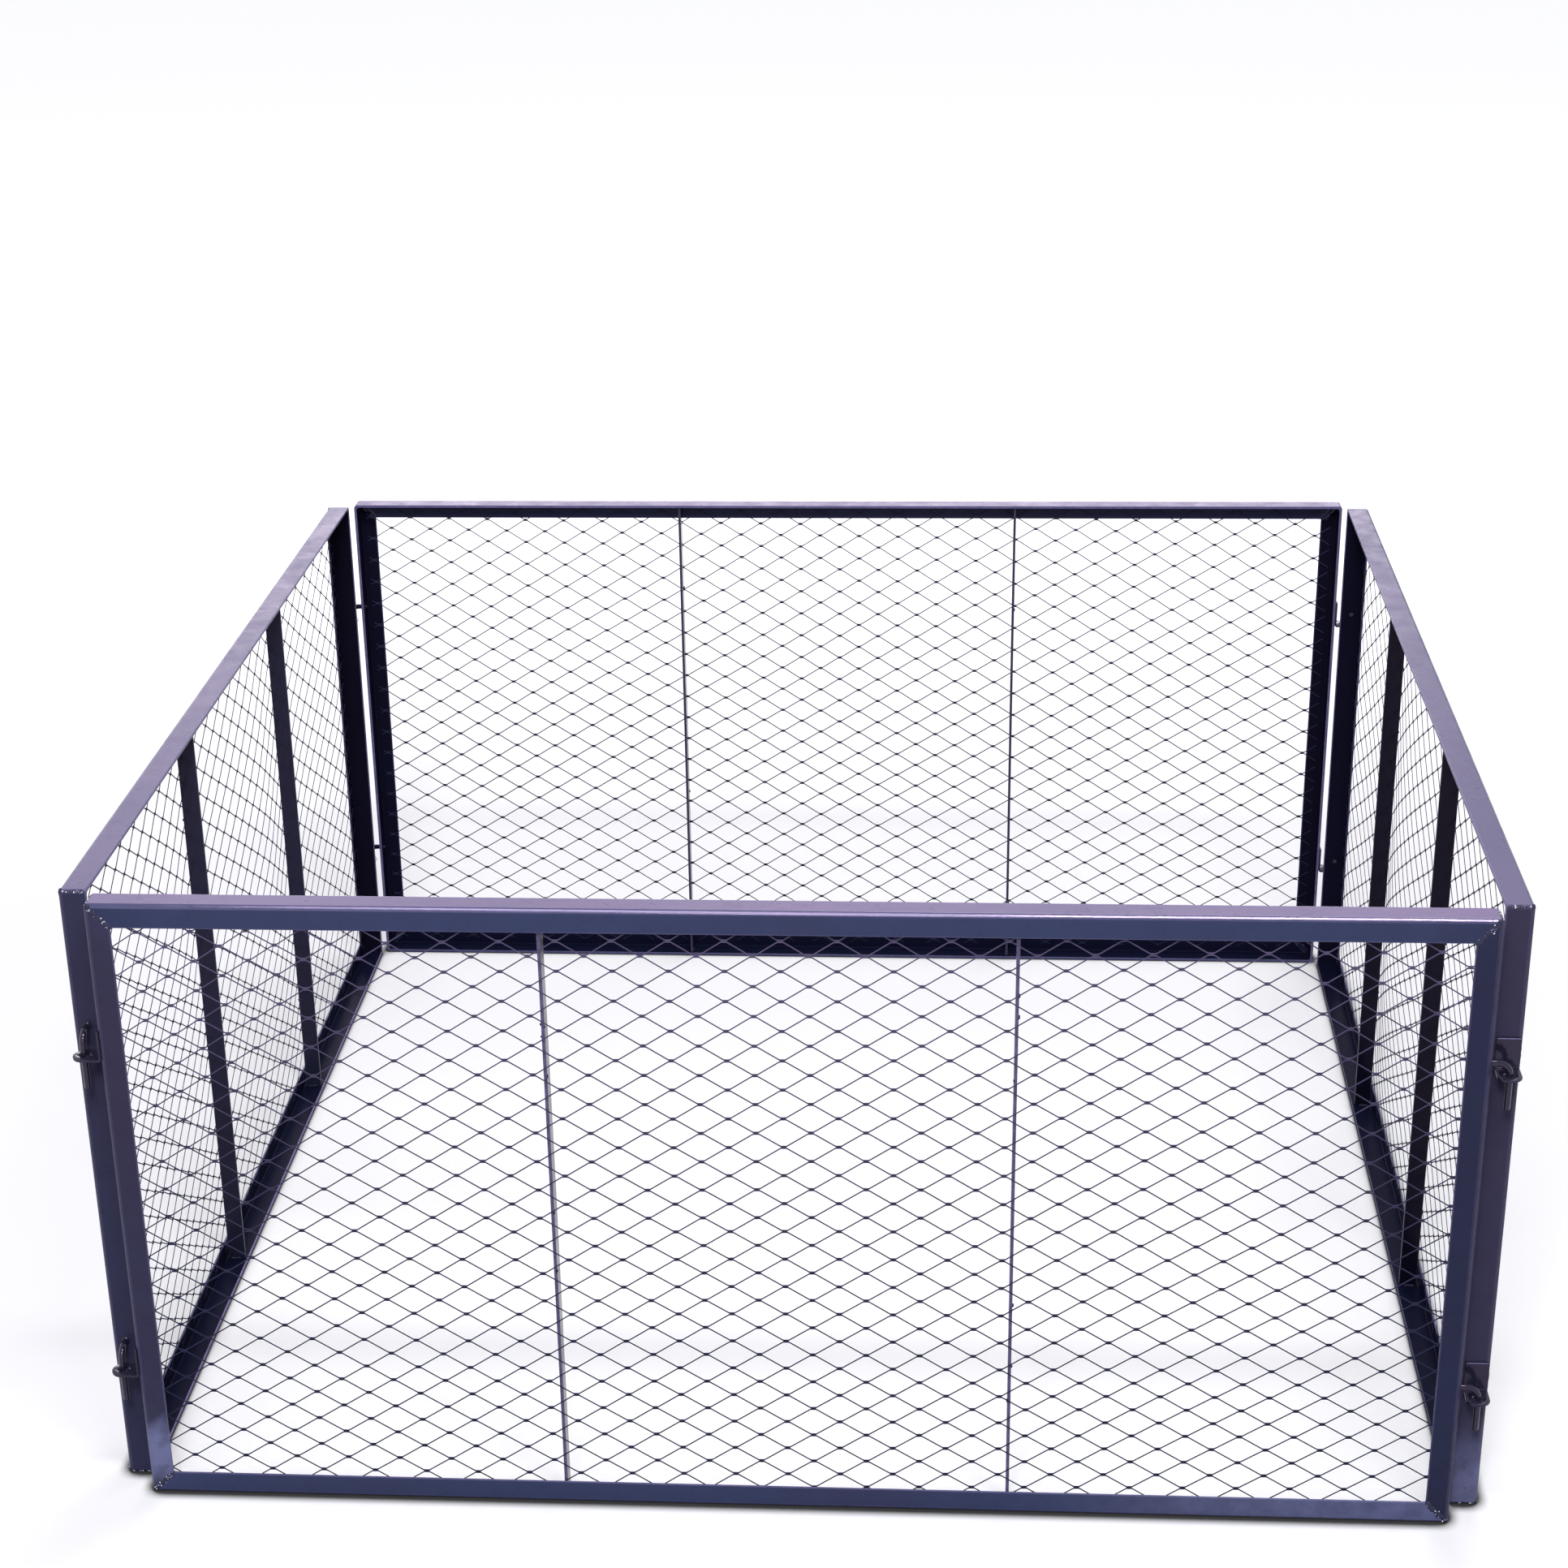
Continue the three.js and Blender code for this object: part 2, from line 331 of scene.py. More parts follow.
def paint_colour(tree, noise, streak, brightness, speckle, edge):
    """Blue to violet, with painted shade inside the angles and on some members, worn edges with
    painted highlights and glints, a painted sheen, painted glare and dust.
    """
    drift = noise(DRIFT_NOISE)
    warmth = combine(tree, "ADD", drift, mark_value(tree, "warmth"))
    hue = combine(tree, "MULTIPLY", warmth, 0.5)
    colour = colour_ramp(tree, hue, (PAINT_BLUE, PAINT_VIOLET), HUE_STOPS)
    streaks = colour_ramp(tree, streak, (STREAK_SHADE, WHITE), STREAK_STOPS)
    colour = colour_mix(tree, "MULTIPLY", 1.0, colour, streaks)
    colour = colour_mix(tree, "MULTIPLY", 1.0, colour, (brightness, brightness, brightness))
    # Painted shade on the inside faces of the angles and over some whole members and bars.
    painted_shade = mark_value(tree, "painted_shade_mark")
    colour = colour_mix(tree, "MULTIPLY", painted_shade, colour, INNER_PAINTED_SHADE)
    # Worn edges, painted highlights and painted glints, broken up by noise.
    broken = noise(WEAR_NOISE)
    wear_and_highlight = combine(tree, "MULTIPLY", mark_value(tree, "wear_and_highlight_mark"), broken)
    colour = colour_mix(tree, "MIX", wear_and_highlight, colour, edge)
    # Painted sheen, patchy with the drift noise.
    sheen_strength = combine(tree, "ADD", drift, PAINTED_SHEEN_BASE)
    painted_sheen = combine(tree, "MULTIPLY", mark_value(tree, "painted_sheen_mark"), sheen_strength)
    colour = colour_mix(tree, "MIX", painted_sheen, colour, PAINTED_SHEEN_COLOUR)
    # Painted glare, patchy with the streak noise.
    painted_glare = combine(tree, "MULTIPLY", mark_value(tree, "painted_glare_mark"), streak)
    painted_glare = combine(tree, "MULTIPLY", painted_glare, PAINTED_GLARE_GAIN)
    colour = colour_mix(tree, "MIX", painted_glare, colour, PAINTED_GLARE_COLOUR)
    grains = noise(DUST_NOISE)
    specks = colour_ramp(tree, grains, (BLACK, WHITE), DUST_STOPS)
    dusty = combine(tree, "MULTIPLY", specks, DUST_SHARE * speckle)
    return colour_mix(tree, "MIX", dusty, colour, PAINT_DUST)


def paint_peel(tree, noise, peel):
    """Fine orange peel over broad waves."""
    strength = PEEL_STRENGTH * peel
    fine = add_node(tree, "ShaderNodeBump", Strength=strength, Distance=FINE_PEEL)
    give(tree, fine.inputs["Height"], noise(FINE_NOISE))
    broad = add_node(tree, "ShaderNodeBump", Strength=strength, Distance=BROAD_PEEL)
    give(tree, broad.inputs["Height"], noise(BROAD_NOISE))
    give(tree, broad.inputs["Normal"], fine.outputs["Normal"])
    return broad.outputs["Normal"]


def painted_metal(name, brightness=1.0, peel=1.0, speckle=1.0, roughness=(0.24, 0.40), gloss=0.12,
                  edge=PAINT_WEAR_AND_HIGHLIGHT):
    """Glossy brushed-on paint with orange peel, worn edges and dust, and with painted shade,
    sheen, glare, highlights and glints where a piece's marks ask for them.
    """
    material = bpy.data.materials.new(name)
    material.use_nodes = True
    tree = material.node_tree
    place = add_node(tree, "ShaderNodeTexCoord").outputs["Object"]

    def noise(settings):
        scale, detail, share = settings
        node = add_node(tree, "ShaderNodeTexNoise", Scale=scale, Detail=detail, Roughness=share)
        give(tree, node.inputs["Vector"], place)
        return node.outputs["Fac"]

    streak = noise(STREAK_NOISE)
    rough = map_range(tree, streak, ROUGH_STOPS, roughness)
    shader = tree.nodes["Principled BSDF"]
    give(tree, shader.inputs["Base Color"], paint_colour(tree, noise, streak, brightness, speckle, edge))
    give(tree, shader.inputs["Roughness"], rough.outputs["Result"])
    give(tree, shader.inputs["Normal"], paint_peel(tree, noise, peel))
    shader.inputs["Metallic"].default_value = 0.0
    shader.inputs["IOR"].default_value = PAINT_IOR
    shader.inputs["Specular IOR Level"].default_value = gloss
    shader.inputs["Specular Tint"].default_value = (*PAINT_TINT, 1)
    return material


frame_paint = painted_metal("frame_paint")
fold_paint = painted_metal("fold_paint", roughness=(0.10, 0.18), gloss=0.5, peel=0.5)
# A darker copy of the paint with almost no gloss, for the inside faces of the angles: painted shade.
painted_shade_paint = painted_metal("painted_shade_paint", roughness=(0.30, 0.42), gloss=0.02)
bar_paint = painted_metal("bar_paint", brightness=0.42, roughness=(0.12, 0.24), gloss=0.16)
mesh_paint = painted_metal(
    "mesh_paint", brightness=0.6, peel=0.4, speckle=0.4, roughness=(0.26, 0.42), gloss=0.004
)
pin_paint = painted_metal("pin_paint", brightness=0.28, roughness=(0.06, 0.14), gloss=0.5)
# The eye plates' paint is kept dark as painted shade for the shadow on the plates.
eye_paint = painted_metal("eye_paint", brightness=0.22, roughness=(0.10, 0.18), gloss=0.35)
# Weld paint: the colour of its marked spots is the near-white of the painted glints.
weld_paint = painted_metal(
    "weld_paint", brightness=0.5, speckle=0.0, roughness=(0.06, 0.14), gloss=0.35, edge=PAINTED_GLINT
)

# Frame members: folded angle, mitred, with a groove for the weld at each mitre

FACE_INSET = 1.0
FOLD_INNER_RADIUS = 1.5
FOLD_CHAMFER = 2.7
FOLD_SHOULDER_RADIUS = 2.3
FOLD_STEPS = 6
SHEARED_EDGE_RADIUS = 0.6
# How much lighter the folds and cut edges are painted: partly wear, partly painted highlight.
SHEARED_WEAR_AND_HIGHLIGHT = 0.7
SECTION_STEPS = (FOLD_STEPS, FOLD_STEPS, 3, 3, 4, 3, 3)
SECTION_WEAR_AND_HIGHLIGHT = (0.2, 0.2, 0.5, 0.5, 0.0, 1.0, SHEARED_WEAR_AND_HIGHLIGHT)
SECTION_SLACK = 0.05
GROOVE_DEPTH = 1.4
GROOVE_REACH = 3.2
SEAM_HALF_GAP = 0.1
MEMBER_STATIONS = 26

# Looks of single members, with painted shade, sheen, glare and highlights.
# A place of painted glare is (middle, reach, strength) along the member.

# Painted shade over whole members, and how much of the inside faces' painted shade a member keeps.
MEMBER_PAINTED_SHADE = {"front_right_stile": 0.55, "front_left_stile": 0.1, "left_right_stile": 0.2}
INNER_PAINTED_SHADE_SHARE = {"back_top_rail": 0.7}
# Wear and a painted highlight line along the foot rails' cut edges, strongest on the left panel.
FOOT_EDGE_WEAR_AND_HIGHLIGHT = {"front": 0.5, "right": 0.15, "back": 0.4, "left": 2.0}
PAINTED_GLARE_PLACES = {
    "front_left_stile": (42.0, 40.0, 1.8),
    "right_left_stile": (25.0, 80.0, 0.75),
    "front_bottom_rail": (500.0, 330.0, 0.55),
}
# How much painted sheen each side's top rail gets.
PAINTED_SHEEN_SHARE = {"front": 1.0, "right": 0.55, "back": 0.8, "left": 0.6}


def angle_section(lowered):
    """The section as (distance from the panel's rim, distance behind its face), and its marks."""
    face = FACE_INSET + lowered
    corners = [
        (lowered, face + FOLD_CHAMFER),
        (lowered + FOLD_CHAMFER, face),
        (FACE_LEG, face),
        (FACE_LEG, SHEET + lowered / 2),
        (SHEET + lowered / 2, SHEET + lowered / 2),
        (SHEET + lowered / 2, EDGE_LEG),
        (lowered, EDGE_LEG),
    ]
    shoulder = FOLD_SHOULDER_RADIUS
    edge = SHEARED_EDGE_RADIUS / 2 if lowered > 0 else SHEARED_EDGE_RADIUS
    radii = [shoulder, shoulder, edge, edge, FOLD_INNER_RADIUS, edge, edge]
    outline = rounded_outline(corners, radii, SECTION_STEPS)
    # Marks: wear and painted highlight on folds and cut edges, painted sheen on the rim faces, painted shade
    # on the inside faces.
    wear = np.repeat(SECTION_WEAR_AND_HIGHLIGHT, [steps + 1 for steps in SECTION_STEPS])
    painted_sheen = (outline[:, 0] < lowered + SECTION_SLACK).astype(float)
    painted_shade = (outline > SHEET - SECTION_SLACK).all(axis=1)
    return with_flats(outline, np.stack([wear, painted_sheen, painted_shade], axis=1))


def angle_member(length):
    """Rings of (place along, rim distance, depth) of a mitred member, from its first end to its last."""
    half = length / 2 - SEAM_HALF_GAP
    whole, marks = angle_section(0.0)
    lowered, _ = angle_section(GROOVE_DEPTH)
    tips = [np.array([(end * (half - a), a, b) for a, b in lowered]) for end in (-1, 1)]
    shoulders = [np.array([(end * (half - GROOVE_REACH - a), a, b) for a, b in whole]) for end in (-1, 1)]
    between = np.linspace(shoulders[0], shoulders[1], MEMBER_STATIONS)
    return np.array([tips[0], *between, tips[1]]), marks


def place_member(kind, rings):
    """Rings in the front panel's place."""
    along, rim, depth = rings[..., 0], rings[..., 1], rings[..., 2]
    y = FACE_Y + depth
    if kind.endswith("rail"):
        return np.stack([along, y, PANEL_HEIGHT - rim if kind == "top_rail" else rim], axis=-1)
    x = HALF_LENGTH - rim if kind == "right_stile" else rim - HALF_LENGTH
    return np.stack([x, y, PANEL_HEIGHT / 2 + along], axis=-1)


def painted_glare_paint(name, points):
    """How strong the painted glare is at each point, around the member's place of glare if it has one."""
    middle, reach, strength = PAINTED_GLARE_PLACES.get(name, (0.0, 1.0, 0.0))
    along = points[:, 0 if name.endswith("rail") else 2]
    share = np.clip(1 - np.abs(along - middle) / reach, 0, 1)
    return strength * share * share * (3 - 2 * share)


def frame_member(side, kind):
    name = f"{side}_{kind}"
    length = 2 * HALF_LENGTH if kind.endswith("rail") else PANEL_HEIGHT
    rings, marks = angle_member(length)
    # The foot rails' cut edges get wear and a painted highlight line.
    if kind == "bottom_rail":
        marks[:, 0] = np.where(marks[:, 0] >= SHEARED_WEAR_AND_HIGHLIGHT, FOOT_EDGE_WEAR_AND_HIGHLIGHT[side], marks[:, 0])
    # Painted sheen on the top rails' rim faces only.
    marks[:, 1] *= PAINTED_SHEEN_SHARE[side] if kind == "top_rail" else 0
    # Painted shade on the inside faces, and over the whole of some members.
    marks[:, 2] = np.maximum(marks[:, 2] * INNER_PAINTED_SHADE_SHARE.get(name, 1.0), MEMBER_PAINTED_SHADE.get(name, 0.0))
    form = Form()
    form.sweep(place_member(kind, rings), marks)
    # Painted glare around the member's place of glare.
    form.painted_glare = painted_glare_paint(name, form.points[0])
    around = rings.shape[1]

    def strips(columns):
        return [i * around + j for i in range(len(rings) - 1) for j in columns]

    # The inside faces in full painted shade take the dark, unglossy copy of the paint.
    dark = [j for j in range(around) if min(marks[j, 2], marks[(j + 1) % around, 2]) == 1.0]
    form.other_paints.append((painted_shade_paint, strips(dark)))
    if kind == "top_rail" and side in ("front", "back"):
        form.other_paints.append((fold_paint, strips(range(2 * FOLD_STEPS + 1))))
    return form


# Weld beads, lumps and spatter: pairs are the least and most of a random draw

BEAD_SPACING = 0.42
BEAD_FEWEST = 8
BEAD_KNOTS = 6
BEAD_POINTS = 9
BEAD_TANGENT_REACH = 0.3
BEAD_ROOT = 0.6
BEAD_WANDER = 0.35
BEAD_SWELL = (0.8, 1.12)
BEAD_END_SHARE = 0.04
BEAD_END_POWER = 6
RIPPLE_SHARE = 0.30
RIPPLE_LEAN = 0.45
RIPPLE_POWER = 0.6
DROP_UNEVEN = (0.82, 1.18)
DROP_ROOT = 0.3
DROP_HELPER = (0.31, 0.52, 0.79)
DROP_STEPS = (9, 4)
LUMP_STEPS = (12, 6)
PAINTED_GLINT_STEPS = (7, 3)
PAINTED_GLINT_FLATNESS = 0.8
LUMP_SIZE = (0.72, 1.15)
LUMP_HEIGHT = (0.75, 1.0)
LUMP_STEP = (0.75, 1.2)
# Painted glints: small drops on the weld lumps, marked near-white.
PAINTED_GLINTS = 3
PAINTED_GLINT_RADIUS = (0.35, 0.85)
PAINTED_GLINT_WEAR = (0.9, 1.8)
PAINTED_GLINT_LIFT = 0.7
PAINTED_GLINT_SPREAD = (0.7, 0.5)
FACE_BEAD = {"width": 6.0, "height": 1.5, "pitch": 2.6}
FACE_LUMPS = {"radius": 3.3, "height": 2.2, "pitch": 3.0, "straggle": 0.9}
FACE_WELD_START = (3.6, 4.4)
FACE_WELD_STOP = (1.0, 2.5)
RIM_BEAD = {"width": 4.0, "height": 1.3, "pitch": 3.4}
RIM_LUMPS = {"radius": 2.1, "height": 1.6, "pitch": 3.4, "straggle": 0.4}
RIM_WELD_INSET = 2.2
RIM_WELD_DEPTHS = (4.5, EDGE_LEG - 2.0)
SPATTER_COUNT = (2, 5)
RIM_SPATTER = {"reach": (4, 46), "inset": (5, EDGE_LEG - 3), "radius": (0.25, 0.6), "flatness": 0.7}
FACE_SPATTER = {"reach": (4, 60), "inset": (3, FACE_LEG - 2), "radius": (0.28, 0.55), "flatness": 0.6}


def point_along(path, lengths, here):
    return np.array([np.interp(here, lengths, path[:, k]) for k in range(3)])


def bead(form, path, outward, rng, width, height, pitch):
    """A rippled bead along a path, lying on a surface whose outward direction is given."""
    path = np.asarray(path, float)
    lengths = np.concatenate([[0], np.cumsum(np.linalg.norm(np.diff(path, axis=0), axis=1))])
    total = float(lengths[-1])
    count = max(int(total / BEAD_SPACING), BEAD_FEWEST)
    outward = unit(outward)
    wander = [rng.uniform(-BEAD_WANDER, BEAD_WANDER) for _ in range(BEAD_KNOTS)]
    swell = [rng.uniform(*BEAD_SWELL) for _ in range(BEAD_KNOTS)]
    knots = np.linspace(0, total, BEAD_KNOTS)
    rings = []
    for i in range(count + 1):
        here = total * i / count
        ahead = point_along(path, lengths, min(here + BEAD_TANGENT_REACH, total))
        behind = point_along(path, lengths, max(here - BEAD_TANGENT_REACH, 0))
        sideways = unit(np.cross(unit(ahead - behind), outward))
        middle = point_along(path, lengths, here) + sideways * float(np.interp(here, knots, wander))
        taper = math.sqrt(max(1 - abs(2 * i / count - 1) ** BEAD_END_POWER, BEAD_END_SHARE))
        grow = float(np.interp(here, knots, swell)) * taper
        ring = []
        for j in range(BEAD_POINTS):
            share = 2 * j / (BEAD_POINTS - 1) - 1
            crest = math.sqrt(max(1 - share * share, 0))
            phase = (here / pitch - RIPPLE_LEAN * share * share) * math.pi
            ripple = 1 - RIPPLE_SHARE + RIPPLE_SHARE * abs(math.sin(phase)) ** RIPPLE_POWER
            rise = height * grow * crest * ripple
            ring.append(middle + sideways * share * width / 2 * grow + outward * rise)
        for across in (1, -1):
            ring.append(middle + across * sideways * width / 3 - outward * height * BEAD_ROOT)
        rings.append(ring)
    form.sweep(rings)


def drop(form, centre, outward, radius, flatness, rng, steps=DROP_STEPS, wear_and_highlight=0.0):
    """A small rounded drop on a surface, a little out of round. steps is (points around, levels)."""
    around, levels = steps
    centre = np.asarray(centre, float)
    outward = np.asarray(outward, float)
    first = unit(np.cross(outward, DROP_HELPER))
    second = np.cross(outward, first)
    uneven = [rng.uniform(*DROP_UNEVEN) for _ in range(around)]
    rings = []
    for level in range(-1, levels):
        share = max(level, 0) / levels
        lift = -DROP_ROOT * radius if level < 0 else radius * flatness * math.sin(share * math.pi / 2)
        spread = radius * math.cos(share * math.pi / 2)
        ring = []
        for angle, size in zip(circle_angles(around), uneven, strict=True):
            reach = spread * size
            place = centre + outward * lift + first * reach * math.cos(angle)
            ring.append(place + second * reach * math.sin(angle))
        rings.append(ring)
    form.sweep(rings, [(wear_and_highlight, 0.0, 0.0)] * around)


def lumps(form, path, outward, rng, radius, height, pitch, straggle):
    """A row of overlapping rounded lumps along a line, as a hand weld leaves them, with painted glints."""
    start = np.asarray(path[0], float)
    line = np.asarray(path[-1], float) - start
    total = float(np.linalg.norm(line))
    along = unit(line)
    outward = unit(outward)
    sideways = np.cross(along, outward)
    here = 0.0
    while here <= total:
        size = radius * rng.uniform(*LUMP_SIZE)
        centre = start + along * here + sideways * rng.uniform(-straggle, straggle)
        drop(form, centre, outward, size, height / size * rng.uniform(*LUMP_HEIGHT), rng, LUMP_STEPS)
        # Small drops marked near-white: painted glints.
        for _ in range(rng.randint(0, PAINTED_GLINTS)):
            wide, far = PAINTED_GLINT_SPREAD
            spot = centre + outward * height * PAINTED_GLINT_LIFT + sideways * rng.uniform(-wide, wide) * size
            spot += along * rng.uniform(-far, far) * size
            spot_radius = rng.uniform(*PAINTED_GLINT_RADIUS)
            wear_and_highlight = rng.uniform(*PAINTED_GLINT_WEAR)
            drop(form, spot, outward, spot_radius, PAINTED_GLINT_FLATNESS, rng, PAINTED_GLINT_STEPS, wear_and_highlight)
        here += pitch * rng.uniform(*LUMP_STEP)


def mitre_place(across, upward, distance, y):
    """A place at one corner of the panel, as far in from its end as from its rim."""
    return (across * (HALF_LENGTH - distance), y, PANEL_HEIGHT - distance if upward else distance)


def corner_welds(rng):
    """The welds of the four mitres: one across the face and one along the outer corner."""
    form = Form()
    face = FACE_Y + FACE_INSET + GROOVE_DEPTH
    for across in (-1, 1):
        for upward in (False, True):
            ends = (rng.uniform(*FACE_WELD_START), FACE_LEG - rng.uniform(*FACE_WELD_STOP))
            path = [mitre_place(across, upward, end, face) for end in ends]
            bead(form, path, FRONTWARD, rng, **FACE_BEAD)
            lumps(form, path, FRONTWARD, rng, **FACE_LUMPS)
            outward = (across, 0, 1 if upward else -1)
            path = [mitre_place(across, upward, RIM_WELD_INSET, FACE_Y + depth) for depth in RIM_WELD_DEPTHS]
            bead(form, path, outward, rng, **RIM_BEAD)
            lumps(form, path, outward, rng, **RIM_LUMPS)
    form.keep_inside()
    return form


def spatter_drop(form, across, upward, on_rim, rng):
    """One drop of weld metal on a stile's edge leg or its face, near the panel's corner."""
    sizes = RIM_SPATTER if on_rim else FACE_SPATTER
    reach = rng.uniform(*sizes["reach"])
    inset = rng.uniform(*sizes["inset"])
    radius = rng.uniform(*sizes["radius"])
    z = PANEL_HEIGHT - reach if upward else reach
    if on_rim:
        place = (across * HALF_LENGTH, FACE_Y + inset, z)
        outward = (across, 0, 0)
    else:
        place = (across * (HALF_LENGTH - inset), FACE_Y + FACE_INSET, z)
        outward = FRONTWARD
    drop(form, place, outward, radius, sizes["flatness"], rng)


def spatter(rng):
    form = Form()
    for across in (-1, 1):
        for upward in (False, True):
            for on_rim in (True, False):
                for _ in range(rng.randint(*SPATTER_COUNT)):
                    spatter_drop(form, across, upward, on_rim, rng)
    return form


# Expanded metal: ribbons that zigzag from bond to bond, two of them side by side at each bond

LONG_WAY = 48.2
SHORT_WAY = 28.2
STRAND_WIDTH = 1.0
STRAND_THICKNESS = 0.5
BOND_WIDTH = 1.4
BOND_SWELL = 0.3
BOND_LENGTH = 4.4
BEND_REACH = 1.5
BEND_SOFTNESS = (0.12, 0.16)
SHEET_SKEW = 0.019
MESH_FRONT_GAP = 0.35
MESH_ROOM = 50.0
MESH_SPARE_ROWS = 4
# Painted sheen on each side's mesh, growing towards the top.
MESH_PAINTED_SHEEN = {"front": 0.6, "right": 0.1, "back": 0.1, "left": 0.35}
BOND_PLACES = {
    "front": (-556.3, 575.3),
    "right": (-560.0, 571.0),
    "back": (536.0, 579.4),
    "left": (-548.0, 577.0),
}

# How far each bay of a sheet bulges inwards, as (share of the bay, millimetres) from the panel's left

OUTWARD_LIMIT = 2.4
BULGE_ROUNDNESS = 0.55
BAY_BULGES = {
    "front": (
        ((0, 0), (0.3, -1.0), (0.7, -1.6), (1, 0)),
        ((0, 0), (0.4, 2.0), (0.8, 1.2), (1, 0)),
        ((0, 0), (0.3, 1.5), (0.7, -1.2), (1, 0)),
    ),
    "right": (
        ((0, 0), (0.35, -2.2), (0.8, -1.0), (1, 0)),
        ((0, 0), (0.3, 3.0), (0.6, 8.0), (0.85, 5.5), (1, 0)),
        ((0, 0), (0.2, -2.0), (0.6, 1.5), (0.85, 5.0), (1, 0)),
    ),
    "back": (
        ((0, 0), (0.3, 1.8), (0.7, 1.0), (1, 0)),
        ((0, 0), (0.4, -1.4), (0.8, 1.2), (1, 0)),
        ((0, 0), (0.3, -1.5), (0.7, 1.2), (1, 0)),
    ),
    "left": (
        ((0, 0), (0.06, 2.2), (0.3, 1.5), (0.6, -1.8), (0.9, -2.4), (1, 0)),
        ((0, 0), (0.2, 5.5), (0.45, 5.0), (0.8, 1.5), (1, 0)),
        ((0, 0), (0.12, 3.0), (0.4, 4.5), (0.7, 3.5), (1, 0)),
    ),
}

# Random waves over a sheet: how many, their strength, their turns each way and their phase

WAVES = 5
WAVE_STRENGTH = (0.6, 1.2)
WAVE_LONG_TURNS = (3, 9)
WAVE_HIGH_TURNS = (2, 6)
WAVE_PHASE = (0, 6.3)
WAVE_UNIT = 600
WAVE_SHARES = {"bulge": 0.25, "slide_x": 0.5, "slide_z": 0.7}
BULGE_WAVE_TURNS = 2.3
BAR_MIDDLES = [float(np.mean(node_box(f"front_{hand}_stiffener"), axis=0)[0]) for hand in HANDS]


def smooth_through(stops, shares):
    """A smooth curve through (share, value) stops, level at neither end."""
    at = np.array([stop[0] for stop in stops], float)
    value = np.array([stop[1] for stop in stops], float)
    slope = np.gradient(value, at)
    k = np.clip(np.searchsorted(at, shares, side="right") - 1, 0, len(at) - 2)
    width = at[k + 1] - at[k]
    t = (shares - at[k]) / width
    first = (2 * t ** 3 - 3 * t ** 2 + 1) * value[k] + (t ** 3 - 2 * t ** 2 + t) * width * slope[k]
    last = (3 * t ** 2 - 2 * t ** 3) * value[k + 1] + (t ** 3 - t ** 2) * width * slope[k + 1]
    return first + last


def sheet_warp(side, rng):
    """How far a sheet wanders from its plane and rows, as a function of the place on it."""
    draws = (WAVE_STRENGTH, WAVE_LONG_TURNS, WAVE_HIGH_TURNS, WAVE_PHASE)
    waves = [[rng.uniform(*draw) for draw in draws] for _ in range(WAVES)]
    stops = (-HALF_LENGTH + FACE_LEG, *BAR_MIDDLES, HALF_LENGTH - FACE_LEG)

    def warp(x, z):
        rise = np.clip((z - FACE_LEG) / (PANEL_HEIGHT - 2 * FACE_LEG), 0, 1)
        window = np.sin(np.pi * rise) ** BULGE_ROUNDNESS
        bulge = np.zeros_like(x)
        for bay, curve in enumerate(BAY_BULGES[side]):
            share = (x - stops[bay]) / (stops[bay + 1] - stops[bay])
            inside = (share > 0) & (share < 1)
            bulge += np.where(inside, smooth_through(curve, np.clip(share, 0, 1)), 0) * window
        slide_x = np.zeros_like(x)
        slide_z = np.zeros_like(x)
        for strength, long, high, phase in waves:
            ripple = np.sin(BULGE_WAVE_TURNS * high * x / WAVE_UNIT - long * z / WAVE_UNIT + phase)
            bulge += WAVE_SHARES["bulge"] * strength * ripple * window
            ripple = np.sin(long * x / WAVE_UNIT + high * z / WAVE_UNIT + phase)
            slide_x += strength * WAVE_SHARES["slide_x"] * ripple
            ripple = np.sin(high * x / WAVE_UNIT - long * z / WAVE_UNIT + 2 * phase)
            slide_z += strength * WAVE_SHARES["slide_z"] * ripple
        return slide_x, np.maximum(bulge, -OUTWARD_LIMIT), slide_z

    return warp


def ribbon_line(first, last, run, fall):
    """The zigzag of one ribbon as (x in half pitches, share of the way down, swell), bends softened."""
    half = LONG_WAY / 2
    slope = math.hypot(run, fall)
    flat = BOND_LENGTH / 2 / half
    level = BEND_REACH / half
    down_x = BEND_REACH * run / slope / half
    down_q = BEND_REACH / slope
    upper = [
        (flat - level, 0, 1),
        (flat + BEND_SOFTNESS[0] * (down_x - level), BEND_SOFTNESS[1] * down_q, 0.5),
        (flat + down_x, down_q, 0),
    ]
    lower = [(1 - x, 1 - q, swell) for x, q, swell in upper][::-1]
    line = []
    for i in range(first, last):
        steps = upper + lower
        if i % 2:
            steps = [(1 - x, q, swell) for x, q, swell in steps][::-1]
        line += [(i + x, q, swell) for x, q, swell in steps]
    return np.array(line)


def add_clipped(form, rings):
    """Adds the runs of a ribbon that lie inside the sheet's cut edges, cut where they cross them."""
    centres = rings.mean(axis=1)
    room = np.minimum(
        np.minimum(centres[:, 0] - mesh_low[0], mesh_high[0] - centres[:, 0]),
        np.minimum(centres[:, 2] - mesh_low[2], mesh_high[2] - centres[:, 2]),
    )
    inside = room > 0
    runs = [[]]
    for i in range(len(rings)):
        if i and inside[i] != inside[i - 1]:
            share = room[i - 1] / (room[i - 1] - room[i])
            runs[-1].append(rings[i - 1] + (rings[i] - rings[i - 1]) * share)
        if inside[i]:
            runs[-1].append(rings[i])
        elif runs[-1]:
            runs.append([])
    for run in runs:
        if len(run) > 2:
            form.sweep(run)


